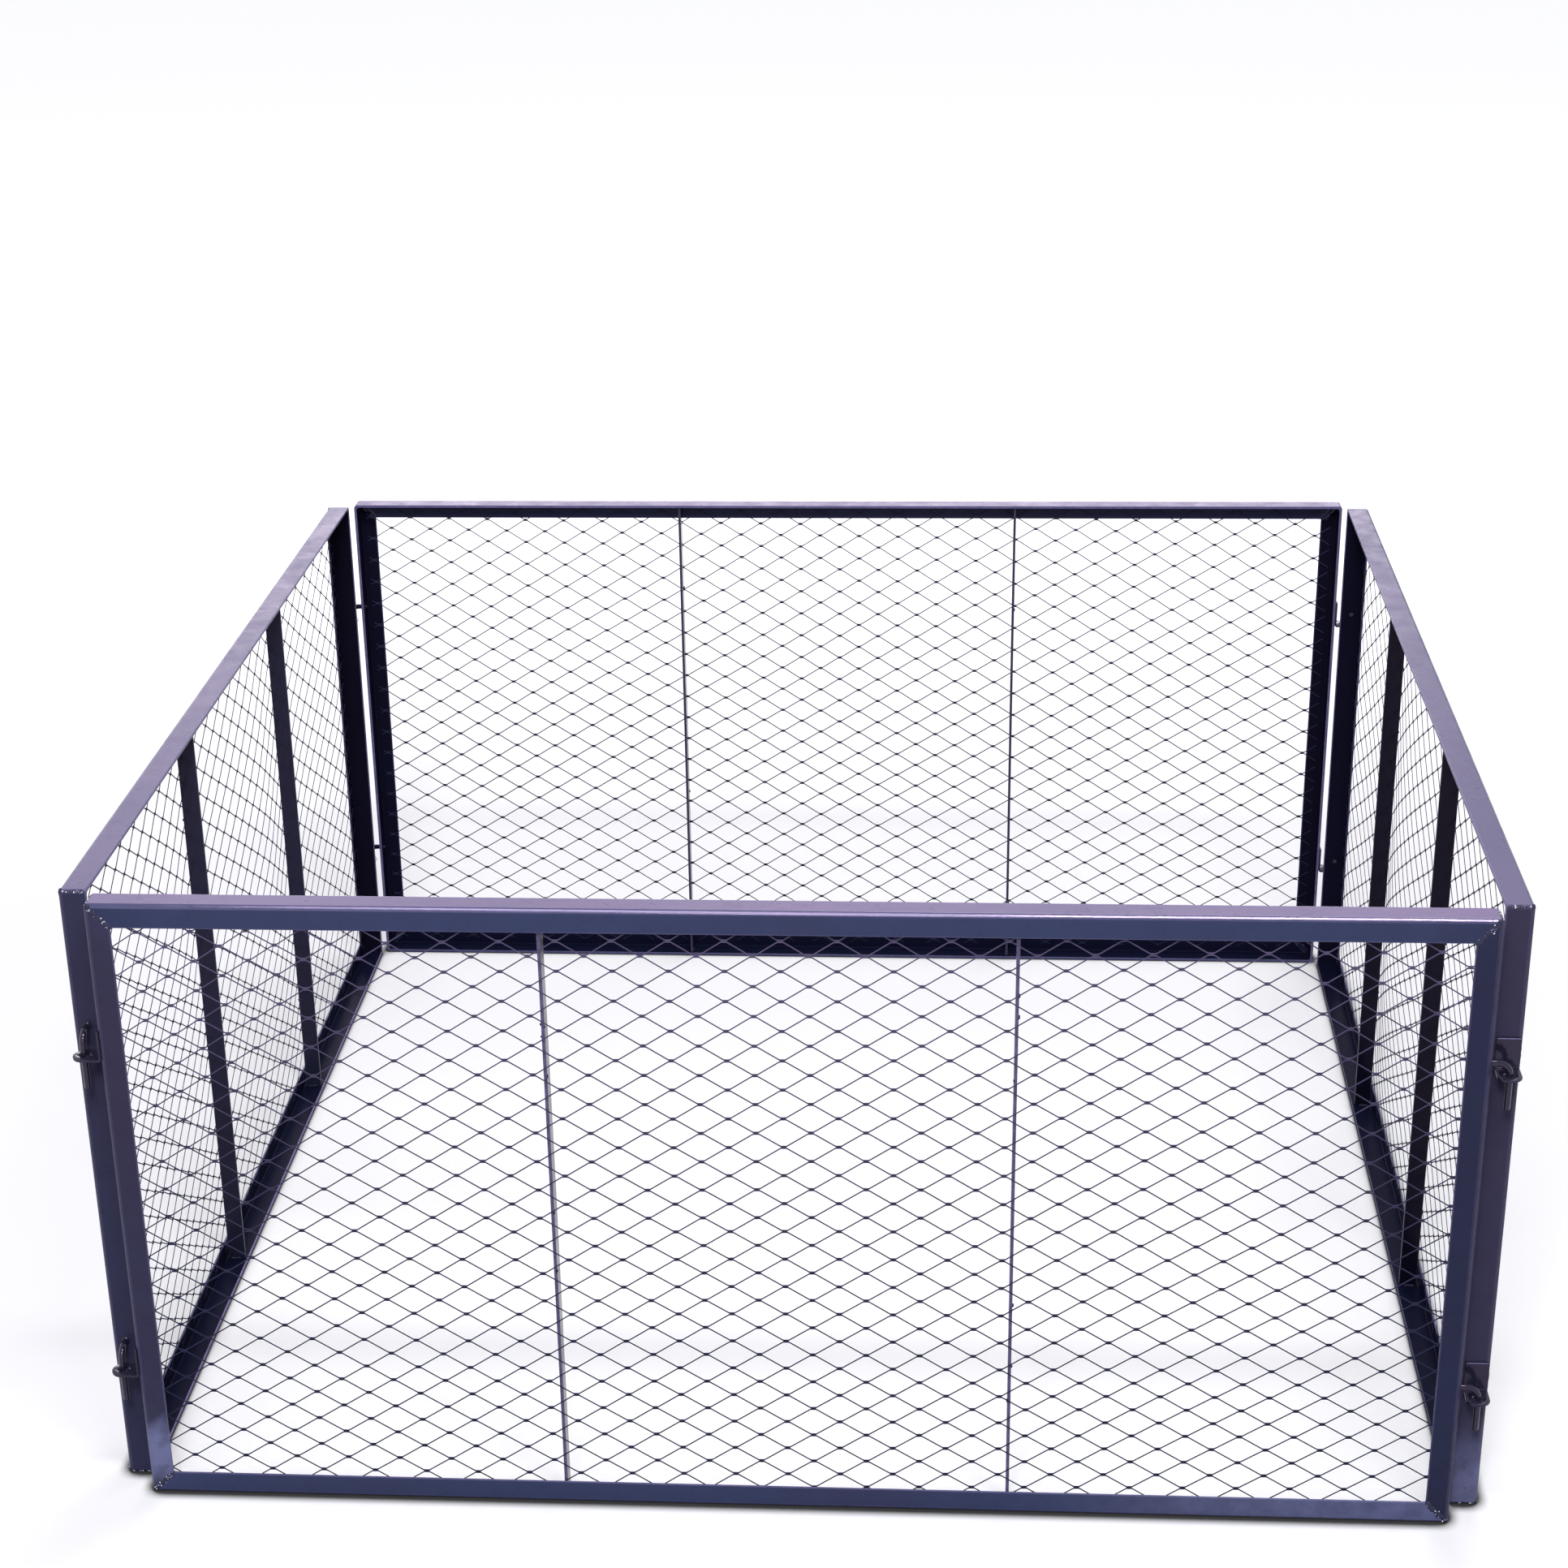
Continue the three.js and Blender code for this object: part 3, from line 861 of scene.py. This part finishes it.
def expanded_sheet(side, rng):
    warp = sheet_warp(side, rng)
    origin_x, origin_z = BOND_PLACES[side]
    half = LONG_WAY / 2
    fall = SHORT_WAY / 2
    first = math.floor((mesh_low[0] - origin_x) / half) - 1
    last = math.ceil((mesh_high[0] - origin_x) / half) + 1
    line = ribbon_line(first, last, half - BOND_LENGTH, fall - BOND_WIDTH)
    swell = line[:, 2]
    half_width = (STRAND_WIDTH + (BOND_WIDTH - STRAND_WIDTH) * swell) / 2
    front = FACE_Y + SHEET + MESH_FRONT_GAP
    form = Form()
    for row in range(-MESH_SPARE_ROWS, int((PANEL_HEIGHT + MESH_ROOM) / fall)):
        x = line[:, 0] * half
        share = 1 - line[:, 1] if row % 2 else line[:, 1]
        depth = row * fall + BOND_WIDTH / 2 + share * (fall - BOND_WIDTH)
        tangent = np.gradient(np.stack([x, depth], axis=1), axis=0)
        tangent /= np.linalg.norm(tangent, axis=1)[:, None]
        rings = []
        for across, outward in ((-1, 0), (1, 0), (1, 1), (-1, 1)):
            along = origin_x + x + tangent[:, 1] * across * half_width
            down = depth - tangent[:, 0] * across * half_width
            rise = origin_z - down + SHEET_SKEW * (along - origin_x)
            slide_x, bulge, slide_z = warp(along, rise)
            thick = (STRAND_THICKNESS + BOND_SWELL * swell) * outward - BOND_SWELL / 2 * swell
            rings.append(np.stack([along + slide_x, front + thick + bulge, rise + slide_z], axis=1))
        add_clipped(form, np.stack(rings, axis=1))
    # Painted sheen: the strands are painted paler towards the top of the panel.
    for points, marks in zip(form.points, form.marks, strict=True):
        marks[:, 1] = MESH_PAINTED_SHEEN[side] * np.clip(points[:, 2] / PANEL_HEIGHT, 0, 1) ** 2
    return form


# Stiffening bars, with the small welds that hold them to the rails and to the mesh

BAR_EDGE_RADIUS = 0.45
BAR_STATIONS = 13
BAR_SWAY = 0.5
# Painted shade over each side's bars, and worn edges with a painted highlight, strongest on the front's
# bars.
BAR_PAINTED_SHADE = {"front": 0.3, "right": 0.9, "back": 0.6, "left": 0.1}
BAR_WEAR_AND_HIGHLIGHT = {"front": 0.9, "right": 0.12, "back": 0.3, "left": 0.12}
BAR_BEAD = {"width": 3.2, "height": 1.5, "pitch": 2.1}
BAR_BEAD_DEPTHS = (2.0, 13.0)
BAR_TACKS = 6
BAR_TACK_HEIGHTS = (60, 540)
BAR_TACK_RADIUS = (1.4, 2.2)
BAR_TACK_DEPTH = 1.0
BAR_TACK_FLATNESS = 0.6


def stiffener(side, hand, rng):
    low, high = node_box(f"front_{hand}_stiffener")
    corners = [(low[0], low[1]), (high[0], low[1]), (high[0], high[1]), (low[0], high[1])]
    section = rounded_outline(corners, [BAR_EDGE_RADIUS] * 4, [2] * 4)
    section, marks = with_flats(section, np.array([[BAR_WEAR_AND_HIGHLIGHT[side], 0.0, BAR_PAINTED_SHADE[side]]] * len(section)))
    form = Form()
    rings = []
    sway = rng.uniform(-BAR_SWAY, BAR_SWAY)
    for share in np.linspace(0, 1, BAR_STATIONS):
        z = low[2] + (high[2] - low[2]) * share
        rings.append([(x + sway * math.sin(math.pi * share), y, z) for x, y in section])
    form.sweep(rings, marks)
    face_x = {-1: low[0], 1: high[0]}
    for z, upward in ((low[2], 1), (high[2], -1)):
        for across, x in face_x.items():
            path = [(x, low[1] + depth, z) for depth in BAR_BEAD_DEPTHS]
            bead(form, path, (across, 0, upward), rng, **BAR_BEAD)
    for _ in range(BAR_TACKS):
        z = rng.uniform(*BAR_TACK_HEIGHTS)
        across = rng.choice((-1, 1))
        place = (face_x[across], low[1] + BAR_TACK_DEPTH, z)
        drop(form, place, (across, 0, 0), rng.uniform(*BAR_TACK_RADIUS), BAR_TACK_FLATNESS, rng)
    return form


# Hook pins: round bar, bent down, with a weld round its root. The arch is lower on some sides.

PIN_RADIUS = 3.0
PIN_BEND_RADIUS = 12.0
PIN_AROUND = 20
PIN_BEND_STATIONS = 14
PIN_INNER_END = 0.85
PIN_TIP = ((6.0, 1.0), (1.0, 1.0), (0.3, 0.93), (0.0, 0.72))
ARCH_DROP = {"front": 7.5, "right": 2.0, "back": 3.5, "left": 0.0}
COLLAR_PROFILE = ((-0.5, 1.5), (0.2, 1.4), (0.7, 1.0), (1.2, 0.35), (1.5, -0.3))
COLLAR_UNEVEN = (0.5, 1.4)


def pin_stations(low, high, root_z):
    """(x, z, turn, size) along a pin: out through the stile, round the bend and down to its tip."""
    axis_x = high[0] - PIN_RADIUS
    stations = [(low[0], root_z, 0.0, PIN_INNER_END), (axis_x - PIN_BEND_RADIUS, root_z, 0.0, 1.0)]
    for i in range(1, PIN_BEND_STATIONS + 1):
        turn = math.pi / 2 * i / PIN_BEND_STATIONS
        x = axis_x - PIN_BEND_RADIUS + PIN_BEND_RADIUS * math.sin(turn)
        z = root_z - PIN_BEND_RADIUS + PIN_BEND_RADIUS * math.cos(turn)
        stations.append((x, z, turn, 1.0))
    for back, size in PIN_TIP:
        stations.append((axis_x, low[2] + back, math.pi / 2, size))
    return stations


def hook_pin(side, level, rng):
    low, high = node_box(f"front_{level}_hook_pin")
    y = (low[1] + high[1]) / 2
    root_z = high[2] - PIN_RADIUS - ARCH_DROP[side]
    rings = []
    for x, z, turn, size in pin_stations(low, high, root_z):
        ring = []
        for angle in circle_angles(PIN_AROUND):
            out = PIN_RADIUS * size * math.cos(angle)
            across = PIN_RADIUS * size * math.sin(angle)
            ring.append((x + out * math.sin(turn), y + across, z + out * math.cos(turn)))
        rings.append(ring)
    form = Form()
    form.sweep(rings)
    rough = np.array([rng.uniform(*COLLAR_UNEVEN) for _ in range(PIN_AROUND)])
    uneven = (np.roll(rough, 1) + rough + np.roll(rough, -1)) / 3
    rings = []
    for out, grow in COLLAR_PROFILE:
        ring = []
        for angle, size in zip(circle_angles(PIN_AROUND), uneven, strict=True):
            reach = PIN_RADIUS + grow * size
            ring.append((HALF_LENGTH + out, y + reach * math.sin(angle), root_z + reach * math.cos(angle)))
        rings.append(ring)
    form.sweep(rings)
    return form


# Eye plates: an L with a rounded nose, a pin hole and a top lip painted as a highlight, welded to the stile

EYE_FOLD_RADIUS = 1.0
EYE_PLATE = 2.0
EYE_NOSE_DEPTH = 7.5
EYE_NOSE_STEPS = 24
EYE_HOLE_RADIUS = 5.0
EYE_HOLE_STEPS = 32
EYE_FOLD_STEPS = (1, 8, 1, 1, 6, 1)
EYE_SHARP = 0.01
EYE_BEVEL = 0.55
EYE_BEVEL_DEGREES = 50
EYE_WEAR = 0.08
# The lip: a thin strip along the plate's top edge, marked pale as a painted highlight.
EYE_LIP = 0.85
EYE_LIP_HIGHLIGHT = 1.6
EYE_LIP_OUT = 0.12
EYE_LIP_IN = 0.4
EYE_LIP_TOP_GAP = 0.02
EYE_LIP_END_GAP = 0.5
EYE_BEAD = {"width": 1.8, "height": 0.7, "pitch": 2.4}
EYE_BEAD_HEIGHTS = (7.0, 22.0)
EYE_BEAD_OUT = 0.5
PIN_SEAT_GAP = 0.3
CUT_OVERRUN = 1.0


def solid_from_outline(name, outline, start, depth, to_space):
    """A prism over an outline in the plane. to_space turns (u, v, along) into a place."""
    count = len(outline)
    near = [to_space(u, v, start) for u, v in outline]
    far = [to_space(u, v, start + depth) for u, v in outline]
    faces = [list(range(count)), [count + k for k in range(count)][::-1]]
    for k in range(count):
        after = (k + 1) % count
        faces.append([k, count + k, count + after, after])
    mesh = bpy.data.meshes.new(name)
    mesh.from_pydata([tuple(p) for p in near + far], [], faces)
    face_outwards(mesh)
    return add_to_scene(name, mesh)


def eye_strip(low, high):
    """The folded strip, standing out beyond both of the plate's side edges."""
    back, nose, floor, top = high[0], low[0], low[2], high[2]
    edges = [
        (nose, floor),
        (back, floor),
        (back, top),
        (back - EYE_PLATE, top),
        (back - EYE_PLATE, floor + EYE_PLATE),
        (nose, floor + EYE_PLATE),
    ]
    sharp = EYE_SHARP
    radii = [sharp, EYE_FOLD_RADIUS + EYE_PLATE, sharp, sharp, EYE_FOLD_RADIUS, sharp]
    profile = rounded_outline(edges, radii, EYE_FOLD_STEPS)
    width = high[1] - low[1] + 2 * CUT_OVERRUN
    return solid_from_outline("eye_strip", profile, low[1] - CUT_OVERRUN, width, lambda u, v, w: (u, w, v))


def eye_blank(low, high):
    """The plate's outline seen from above, with its rounded nose, as a tall prism."""
    middle_y = (low[1] + high[1]) / 2
    half = (high[1] - low[1]) / 2
    radius = (half * half + EYE_NOSE_DEPTH ** 2) / (2 * EYE_NOSE_DEPTH)
    spread = math.asin(min(half / radius, 1))
    back = high[0] + CUT_OVERRUN
    plan = [(back, middle_y - half), (back, middle_y + half)]
    for k in range(EYE_NOSE_STEPS + 1):
        angle = math.pi - spread + 2 * spread * k / EYE_NOSE_STEPS
        plan.append((low[0] + radius + radius * math.cos(angle), middle_y + radius * math.sin(angle)))
    height = high[2] - low[2] + 2 * CUT_OVERRUN
    return solid_from_outline("eye_blank", plan, low[2] - CUT_OVERRUN, height, lambda u, v, w: (u, v, w))


def eye_bore(low, high, axis_x):
    """The hole, placed so that the neighbour's pin stands near its inner edge."""
    middle_y = (low[1] + high[1]) / 2
    hole_x = axis_x + EYE_HOLE_RADIUS - PIN_RADIUS - PIN_SEAT_GAP
    ring = []
    for angle in circle_angles(EYE_HOLE_STEPS):
        y = middle_y + EYE_HOLE_RADIUS * math.sin(angle)
        ring.append((hole_x + EYE_HOLE_RADIUS * math.cos(angle), y))
    depth = EYE_PLATE + 2 * CUT_OVERRUN
    return solid_from_outline("eye_bore", ring, low[2] - CUT_OVERRUN, depth, lambda u, v, w: (u, v, w))


def eye_plate_points(level):
    """The plate in the front panel's place as (points, faces), cut and bevelled with modifiers."""
    low, high = node_box(f"front_{level}_eye_plate")
    pin_high = node_box(f"front_{level}_hook_pin")[1]
    strip = eye_strip(low, high)
    blank = eye_blank(low, high)
    bore = eye_bore(low, high, -(pin_high[0] - PIN_RADIUS))
    for other, operation in ((blank, "INTERSECT"), (bore, "DIFFERENCE")):
        cut = strip.modifiers.new(operation, "BOOLEAN")
        cut.operation = operation
        cut.object = other
        cut.solver = "EXACT"
    bevel = strip.modifiers.new("bevel", "BEVEL")
    bevel.width = EYE_BEVEL
    bevel.segments = 2
    bevel.limit_method = "ANGLE"
    bevel.angle_limit = math.radians(EYE_BEVEL_DEGREES)
    bpy.context.view_layer.update()
    result = bpy.data.meshes.new_from_object(strip.evaluated_get(bpy.context.evaluated_depsgraph_get()))
    points = np.array([tuple(v.co) for v in result.vertices])
    faces = [list(p.vertices) for p in result.polygons]
    for thing in (strip, blank, bore):
        bpy.data.objects.remove(thing)
    return points, faces


def eye_plate(level, cut, rng):
    points, faces = cut
    low, high = node_box(f"front_{level}_eye_plate")
    form = Form()
    form.add(points, faces, np.array([[EYE_WEAR, 0.0, 0.0]] * len(points)))
    face_x = high[0] - EYE_PLATE
    # The top lip, marked pale: a painted highlight.
    lip = [
        (face_x - EYE_LIP_OUT, high[2] - EYE_LIP),
        (face_x + EYE_LIP_IN, high[2] - EYE_LIP),
        (face_x + EYE_LIP_IN, high[2] - EYE_LIP_TOP_GAP),
        (face_x - EYE_LIP_OUT, high[2] - EYE_LIP_TOP_GAP),
    ]
    ends = (low[1] + EYE_LIP_END_GAP, high[1] - EYE_LIP_END_GAP)
    form.sweep([[(x, y, z) for x, z in lip] for y in ends], [(EYE_LIP_HIGHLIGHT, 0.0, 0.0)] * len(lip))
    for y, sideways in ((low[1], -1), (high[1], 1)):
        path = [(-HALF_LENGTH - EYE_BEAD_OUT, y, low[2] + height) for height in EYE_BEAD_HEIGHTS]
        bead(form, path, (-1, sideways, 0), rng, **EYE_BEAD)
    return form


# The four panels

WARMTH = {
    "top_rail": 0.1,
    "bottom_rail": 0.15,
    "left_stile": 0.85,
    "right_stile": 0.5,
    "front_right_stile": 0.35,
}
WARMTH_SPREAD = 0.1
WELD_WARMTH = 0.1
WELD_SMOOTH_DEGREES = 60
MESH_SMOOTH_DEGREES = 40


def replace_node(node, ending, form, side, paint, slot, **looks):
    """Adds a piece that takes the place of one of the CAD's solids."""
    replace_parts(make_object(f"{node}_{ending}", form, side, paint, slot, **looks), node)


def build_panel(side, eye_cuts):
    """All the pieces of one side. Its looks hang on the order of the random draws."""
    rng = random.Random(SEED + SIDES.index(side))
    for kind in MEMBERS:
        name = f"{side}_{kind}"
        warmth = WARMTH.get(name, WARMTH[kind]) + rng.uniform(-WARMTH_SPREAD, WARMTH_SPREAD)
        member = frame_member(side, kind)
        replace_node(name, "angle", member, side, frame_paint, "frame_paint", warmth=warmth)
    for kind, form in (("corner_welds", corner_welds(rng)), ("spatter", spatter(rng))):
        looks = (WELD_WARMTH, WELD_SMOOTH_DEGREES)
        make_object(f"{side}_{kind}", form, side, weld_paint, "frame_paint", *looks)
    for hand in HANDS:
        bar = stiffener(side, hand, rng)
        replace_node(f"{side}_{hand}_stiffener", "bar", bar, side, bar_paint, "bar_paint")
    replace_node(
        f"{side}_mesh", "sheet", expanded_sheet(side, rng), side, mesh_paint, "mesh_paint",
        smooth_degrees=MESH_SMOOTH_DEGREES, oriented=True,
    )
    for level in LEVELS:
        pin = hook_pin(side, level, rng)
        replace_node(f"{side}_{level}_hook_pin", "bar", pin, side, pin_paint, "pin_paint")
        plate = eye_plate(level, eye_cuts[level], rng)
        replace_node(f"{side}_{level}_eye_plate", "cut", plate, side, eye_paint, "eye_paint")


level_cuts = {level: eye_plate_points(level) for level in LEVELS}
for panel_side in SIDES:
    build_panel(panel_side, level_cuts)

# Floor, backdrop and light

FLOOR_SIZE = 60.0
FLOOR_DROP = 0.0002
FLOOR_SHADE = (0.36, 0.36, 0.40)
FLOOR_LIT = (0.58, 0.58, 0.60)
GLOW_REACH = (1.0, 3.2)
GLOW_STRENGTH = (0.27, 0.8)
# Painted contact shadow on the floor right under the rails.
CONTACT_REACH = 0.014
CONTACT_SAMPLES = 16
CONTACT_OPENNESS = (0.62, 0.98)
PAINTED_CONTACT_SHADOW = (0.05, 1.0)
WORLD_COLOUR = (0.93, 0.94, 1.0)
WORLD_STRENGTH = 0.30


def white_where_seen(tree, shade_output, white_output):
    """Mixes a shader with plain white for what the camera, mirrors and glass see directly."""
    rays = add_node(tree, "ShaderNodeLightPath").outputs
    seen = combine(tree, "MAXIMUM", rays["Is Camera Ray"], rays["Is Glossy Ray"])
    seen = combine(tree, "MAXIMUM", seen, rays["Is Transmission Ray"])
    mix = add_node(tree, "ShaderNodeMixShader")
    give(tree, mix.inputs["Fac"], seen)
    give(tree, mix.inputs[1], shade_output)
    give(tree, mix.inputs[2], white_output)
    return mix.outputs[0]


def floor_material():
    """Seen: a pale floor that glows far off, with a painted contact shadow right under the rails.
    Unseen: plain grey.
    """
    material = bpy.data.materials.new("studio_floor")
    material.use_nodes = True
    tree = material.node_tree
    tree.nodes.remove(tree.nodes["Principled BSDF"])
    plain = add_node(tree, "ShaderNodeBsdfDiffuse", Color=(*FLOOR_SHADE, 1))
    place = add_node(tree, "ShaderNodeTexCoord").outputs["Object"]
    distance = add_node(tree, "ShaderNodeVectorMath")
    distance.operation = "LENGTH"
    give(tree, distance.inputs[0], place)
    fade = map_range(tree, distance.outputs["Value"], GLOW_REACH, GLOW_STRENGTH)
    fade.interpolation_type = "SMOOTHSTEP"
    # Painted contact shadow: occlusion near the rails darkens the floor's glow and colour.
    near = add_node(tree, "ShaderNodeAmbientOcclusion", Distance=CONTACT_REACH)
    near.samples = CONTACT_SAMPLES
    contact = map_range(tree, near.outputs["AO"], CONTACT_OPENNESS, PAINTED_CONTACT_SHADOW)
    shade = contact.outputs["Result"]
    lit = add_node(tree, "ShaderNodeBsdfDiffuse")
    give(tree, lit.inputs["Color"], colour_mix(tree, "MULTIPLY", 1.0, FLOOR_LIT, shade))
    glow = add_node(tree, "ShaderNodeEmission")
    strength = combine(tree, "MULTIPLY", fade.outputs["Result"], shade)
    give(tree, glow.inputs["Strength"], strength)
    both = add_node(tree, "ShaderNodeAddShader")
    give(tree, both.inputs[0], lit.outputs[0])
    give(tree, both.inputs[1], glow.outputs[0])
    surface = white_where_seen(tree, plain.outputs[0], both.outputs[0])
    give(tree, tree.nodes["Material Output"].inputs["Surface"], surface)
    return material


def make_floor():
    mesh = bpy.data.meshes.new("studio_floor")
    reach = FLOOR_SIZE / 2
    corners = [(-reach, -reach), (reach, -reach), (reach, reach), (-reach, reach)]
    mesh.from_pydata([(x, y, -FLOOR_DROP) for x, y in corners], [], [(0, 1, 2, 3)])
    mesh.materials.append(floor_material())
    floor = add_to_scene("studio_floor", mesh)


def set_world():
    """Soft light from all round, in front of a white backdrop."""
    world = bpy.data.worlds.new("studio_world")
    bpy.context.scene.world = world
    world.use_nodes = True
    tree = world.node_tree
    dim = tree.nodes["Background"]
    dim.inputs["Color"].default_value = (*WORLD_COLOUR, 1)
    dim.inputs["Strength"].default_value = WORLD_STRENGTH
    white = add_node(tree, "ShaderNodeBackground", Color=(*WHITE, 1), Strength=1.0)
    surface = white_where_seen(tree, dim.outputs[0], white.outputs[0])
    give(tree, tree.nodes["World Output"].inputs["Surface"], surface)


# Each lamp's place, target, size, watts and colour

LAMPS = {
    "back_key": ((-0.85, 4.6, 1.55), (-0.2, 0, 0.6), (4.6, 1.0), 66, (0.97, 0.86, 1.0)),
    "front_fill": ((-0.9, -5.2, 2.3), (0, 0, 0.3), (3.0, 2.2), 34, (0.92, 0.95, 1.0)),
    "overhead": ((0.7, 2.0, 4.2), (0, -0.2, 0.3), (2.0, 2.0), 90, WHITE),
    "strip_right": ((0.78, -2.15, 4.08), (0.45, -0.63, 0.6), (1.15, 0.34), 68, WHITE),
    "strip_left": ((-0.60, -2.15, 4.08), (-0.3, -0.63, 0.6), (1.5, 0.45), 40, (0.95, 0.95, 1.0)),
    "front_key": ((-0.15, -3.5, 3.3), (0.0, -0.6, 0.4), (0.7, 0.7), 88, (0.97, 0.97, 1.0)),
}


def softbox(name, place, target, size, watts, colour):
    data = bpy.data.lights.new(name, "AREA")
    data.shape = "RECTANGLE"
    data.size, data.size_y = size
    data.energy = watts
    data.color = colour
    lamp = add_to_scene(name, data)
    lamp.location = place
    lamp.rotation_euler = (Vector(target) - Vector(place)).to_track_quat("-Z", "Y").to_euler()


make_floor()
set_world()
for lamp_name, lamp_settings in LAMPS.items():
    softbox(lamp_name, *lamp_settings)

# Camera: fitted to the photograph's corners

IMAGE_WIDTH = 1932
FOCAL_PIXELS = 3702.89
CENTRE_PIXEL = (923.49, 1210.89)
CAMERA_PLACE = (0.15171, -2.94449, 1.60812)
CAMERA_YAW = -0.0777
CAMERA_PITCH = 0.4333
CAMERA_ROLL = -0.0201
SENSOR_WIDTH = 36.0
CLIP_END = 200


def make_camera():
    forward = Vector((
        math.sin(CAMERA_YAW) * math.cos(CAMERA_PITCH),
        math.cos(CAMERA_YAW) * math.cos(CAMERA_PITCH),
        -math.sin(CAMERA_PITCH),
    ))
    level_right = Vector((math.cos(CAMERA_YAW), -math.sin(CAMERA_YAW), 0))
    level_up = level_right.cross(forward)
    right = math.cos(CAMERA_ROLL) * level_right + math.sin(CAMERA_ROLL) * level_up
    up = -math.sin(CAMERA_ROLL) * level_right + math.cos(CAMERA_ROLL) * level_up
    lens = bpy.data.cameras.new("camera")
    lens.sensor_width = SENSOR_WIDTH
    lens.lens = SENSOR_WIDTH * FOCAL_PIXELS / IMAGE_WIDTH
    lens.shift_x = (IMAGE_WIDTH / 2 - CENTRE_PIXEL[0]) / IMAGE_WIDTH
    lens.shift_y = (CENTRE_PIXEL[1] - IMAGE_WIDTH / 2) / IMAGE_WIDTH
    lens.clip_end = CLIP_END
    camera = add_to_scene("camera", lens)
    axes = Matrix((right, up, -forward)).transposed().to_4x4()
    camera.matrix_world = Matrix.Translation(Vector(CAMERA_PLACE)) @ axes
    return camera


bpy.context.scene.camera = make_camera()
bpy.context.scene.view_settings.view_transform = "Standard"
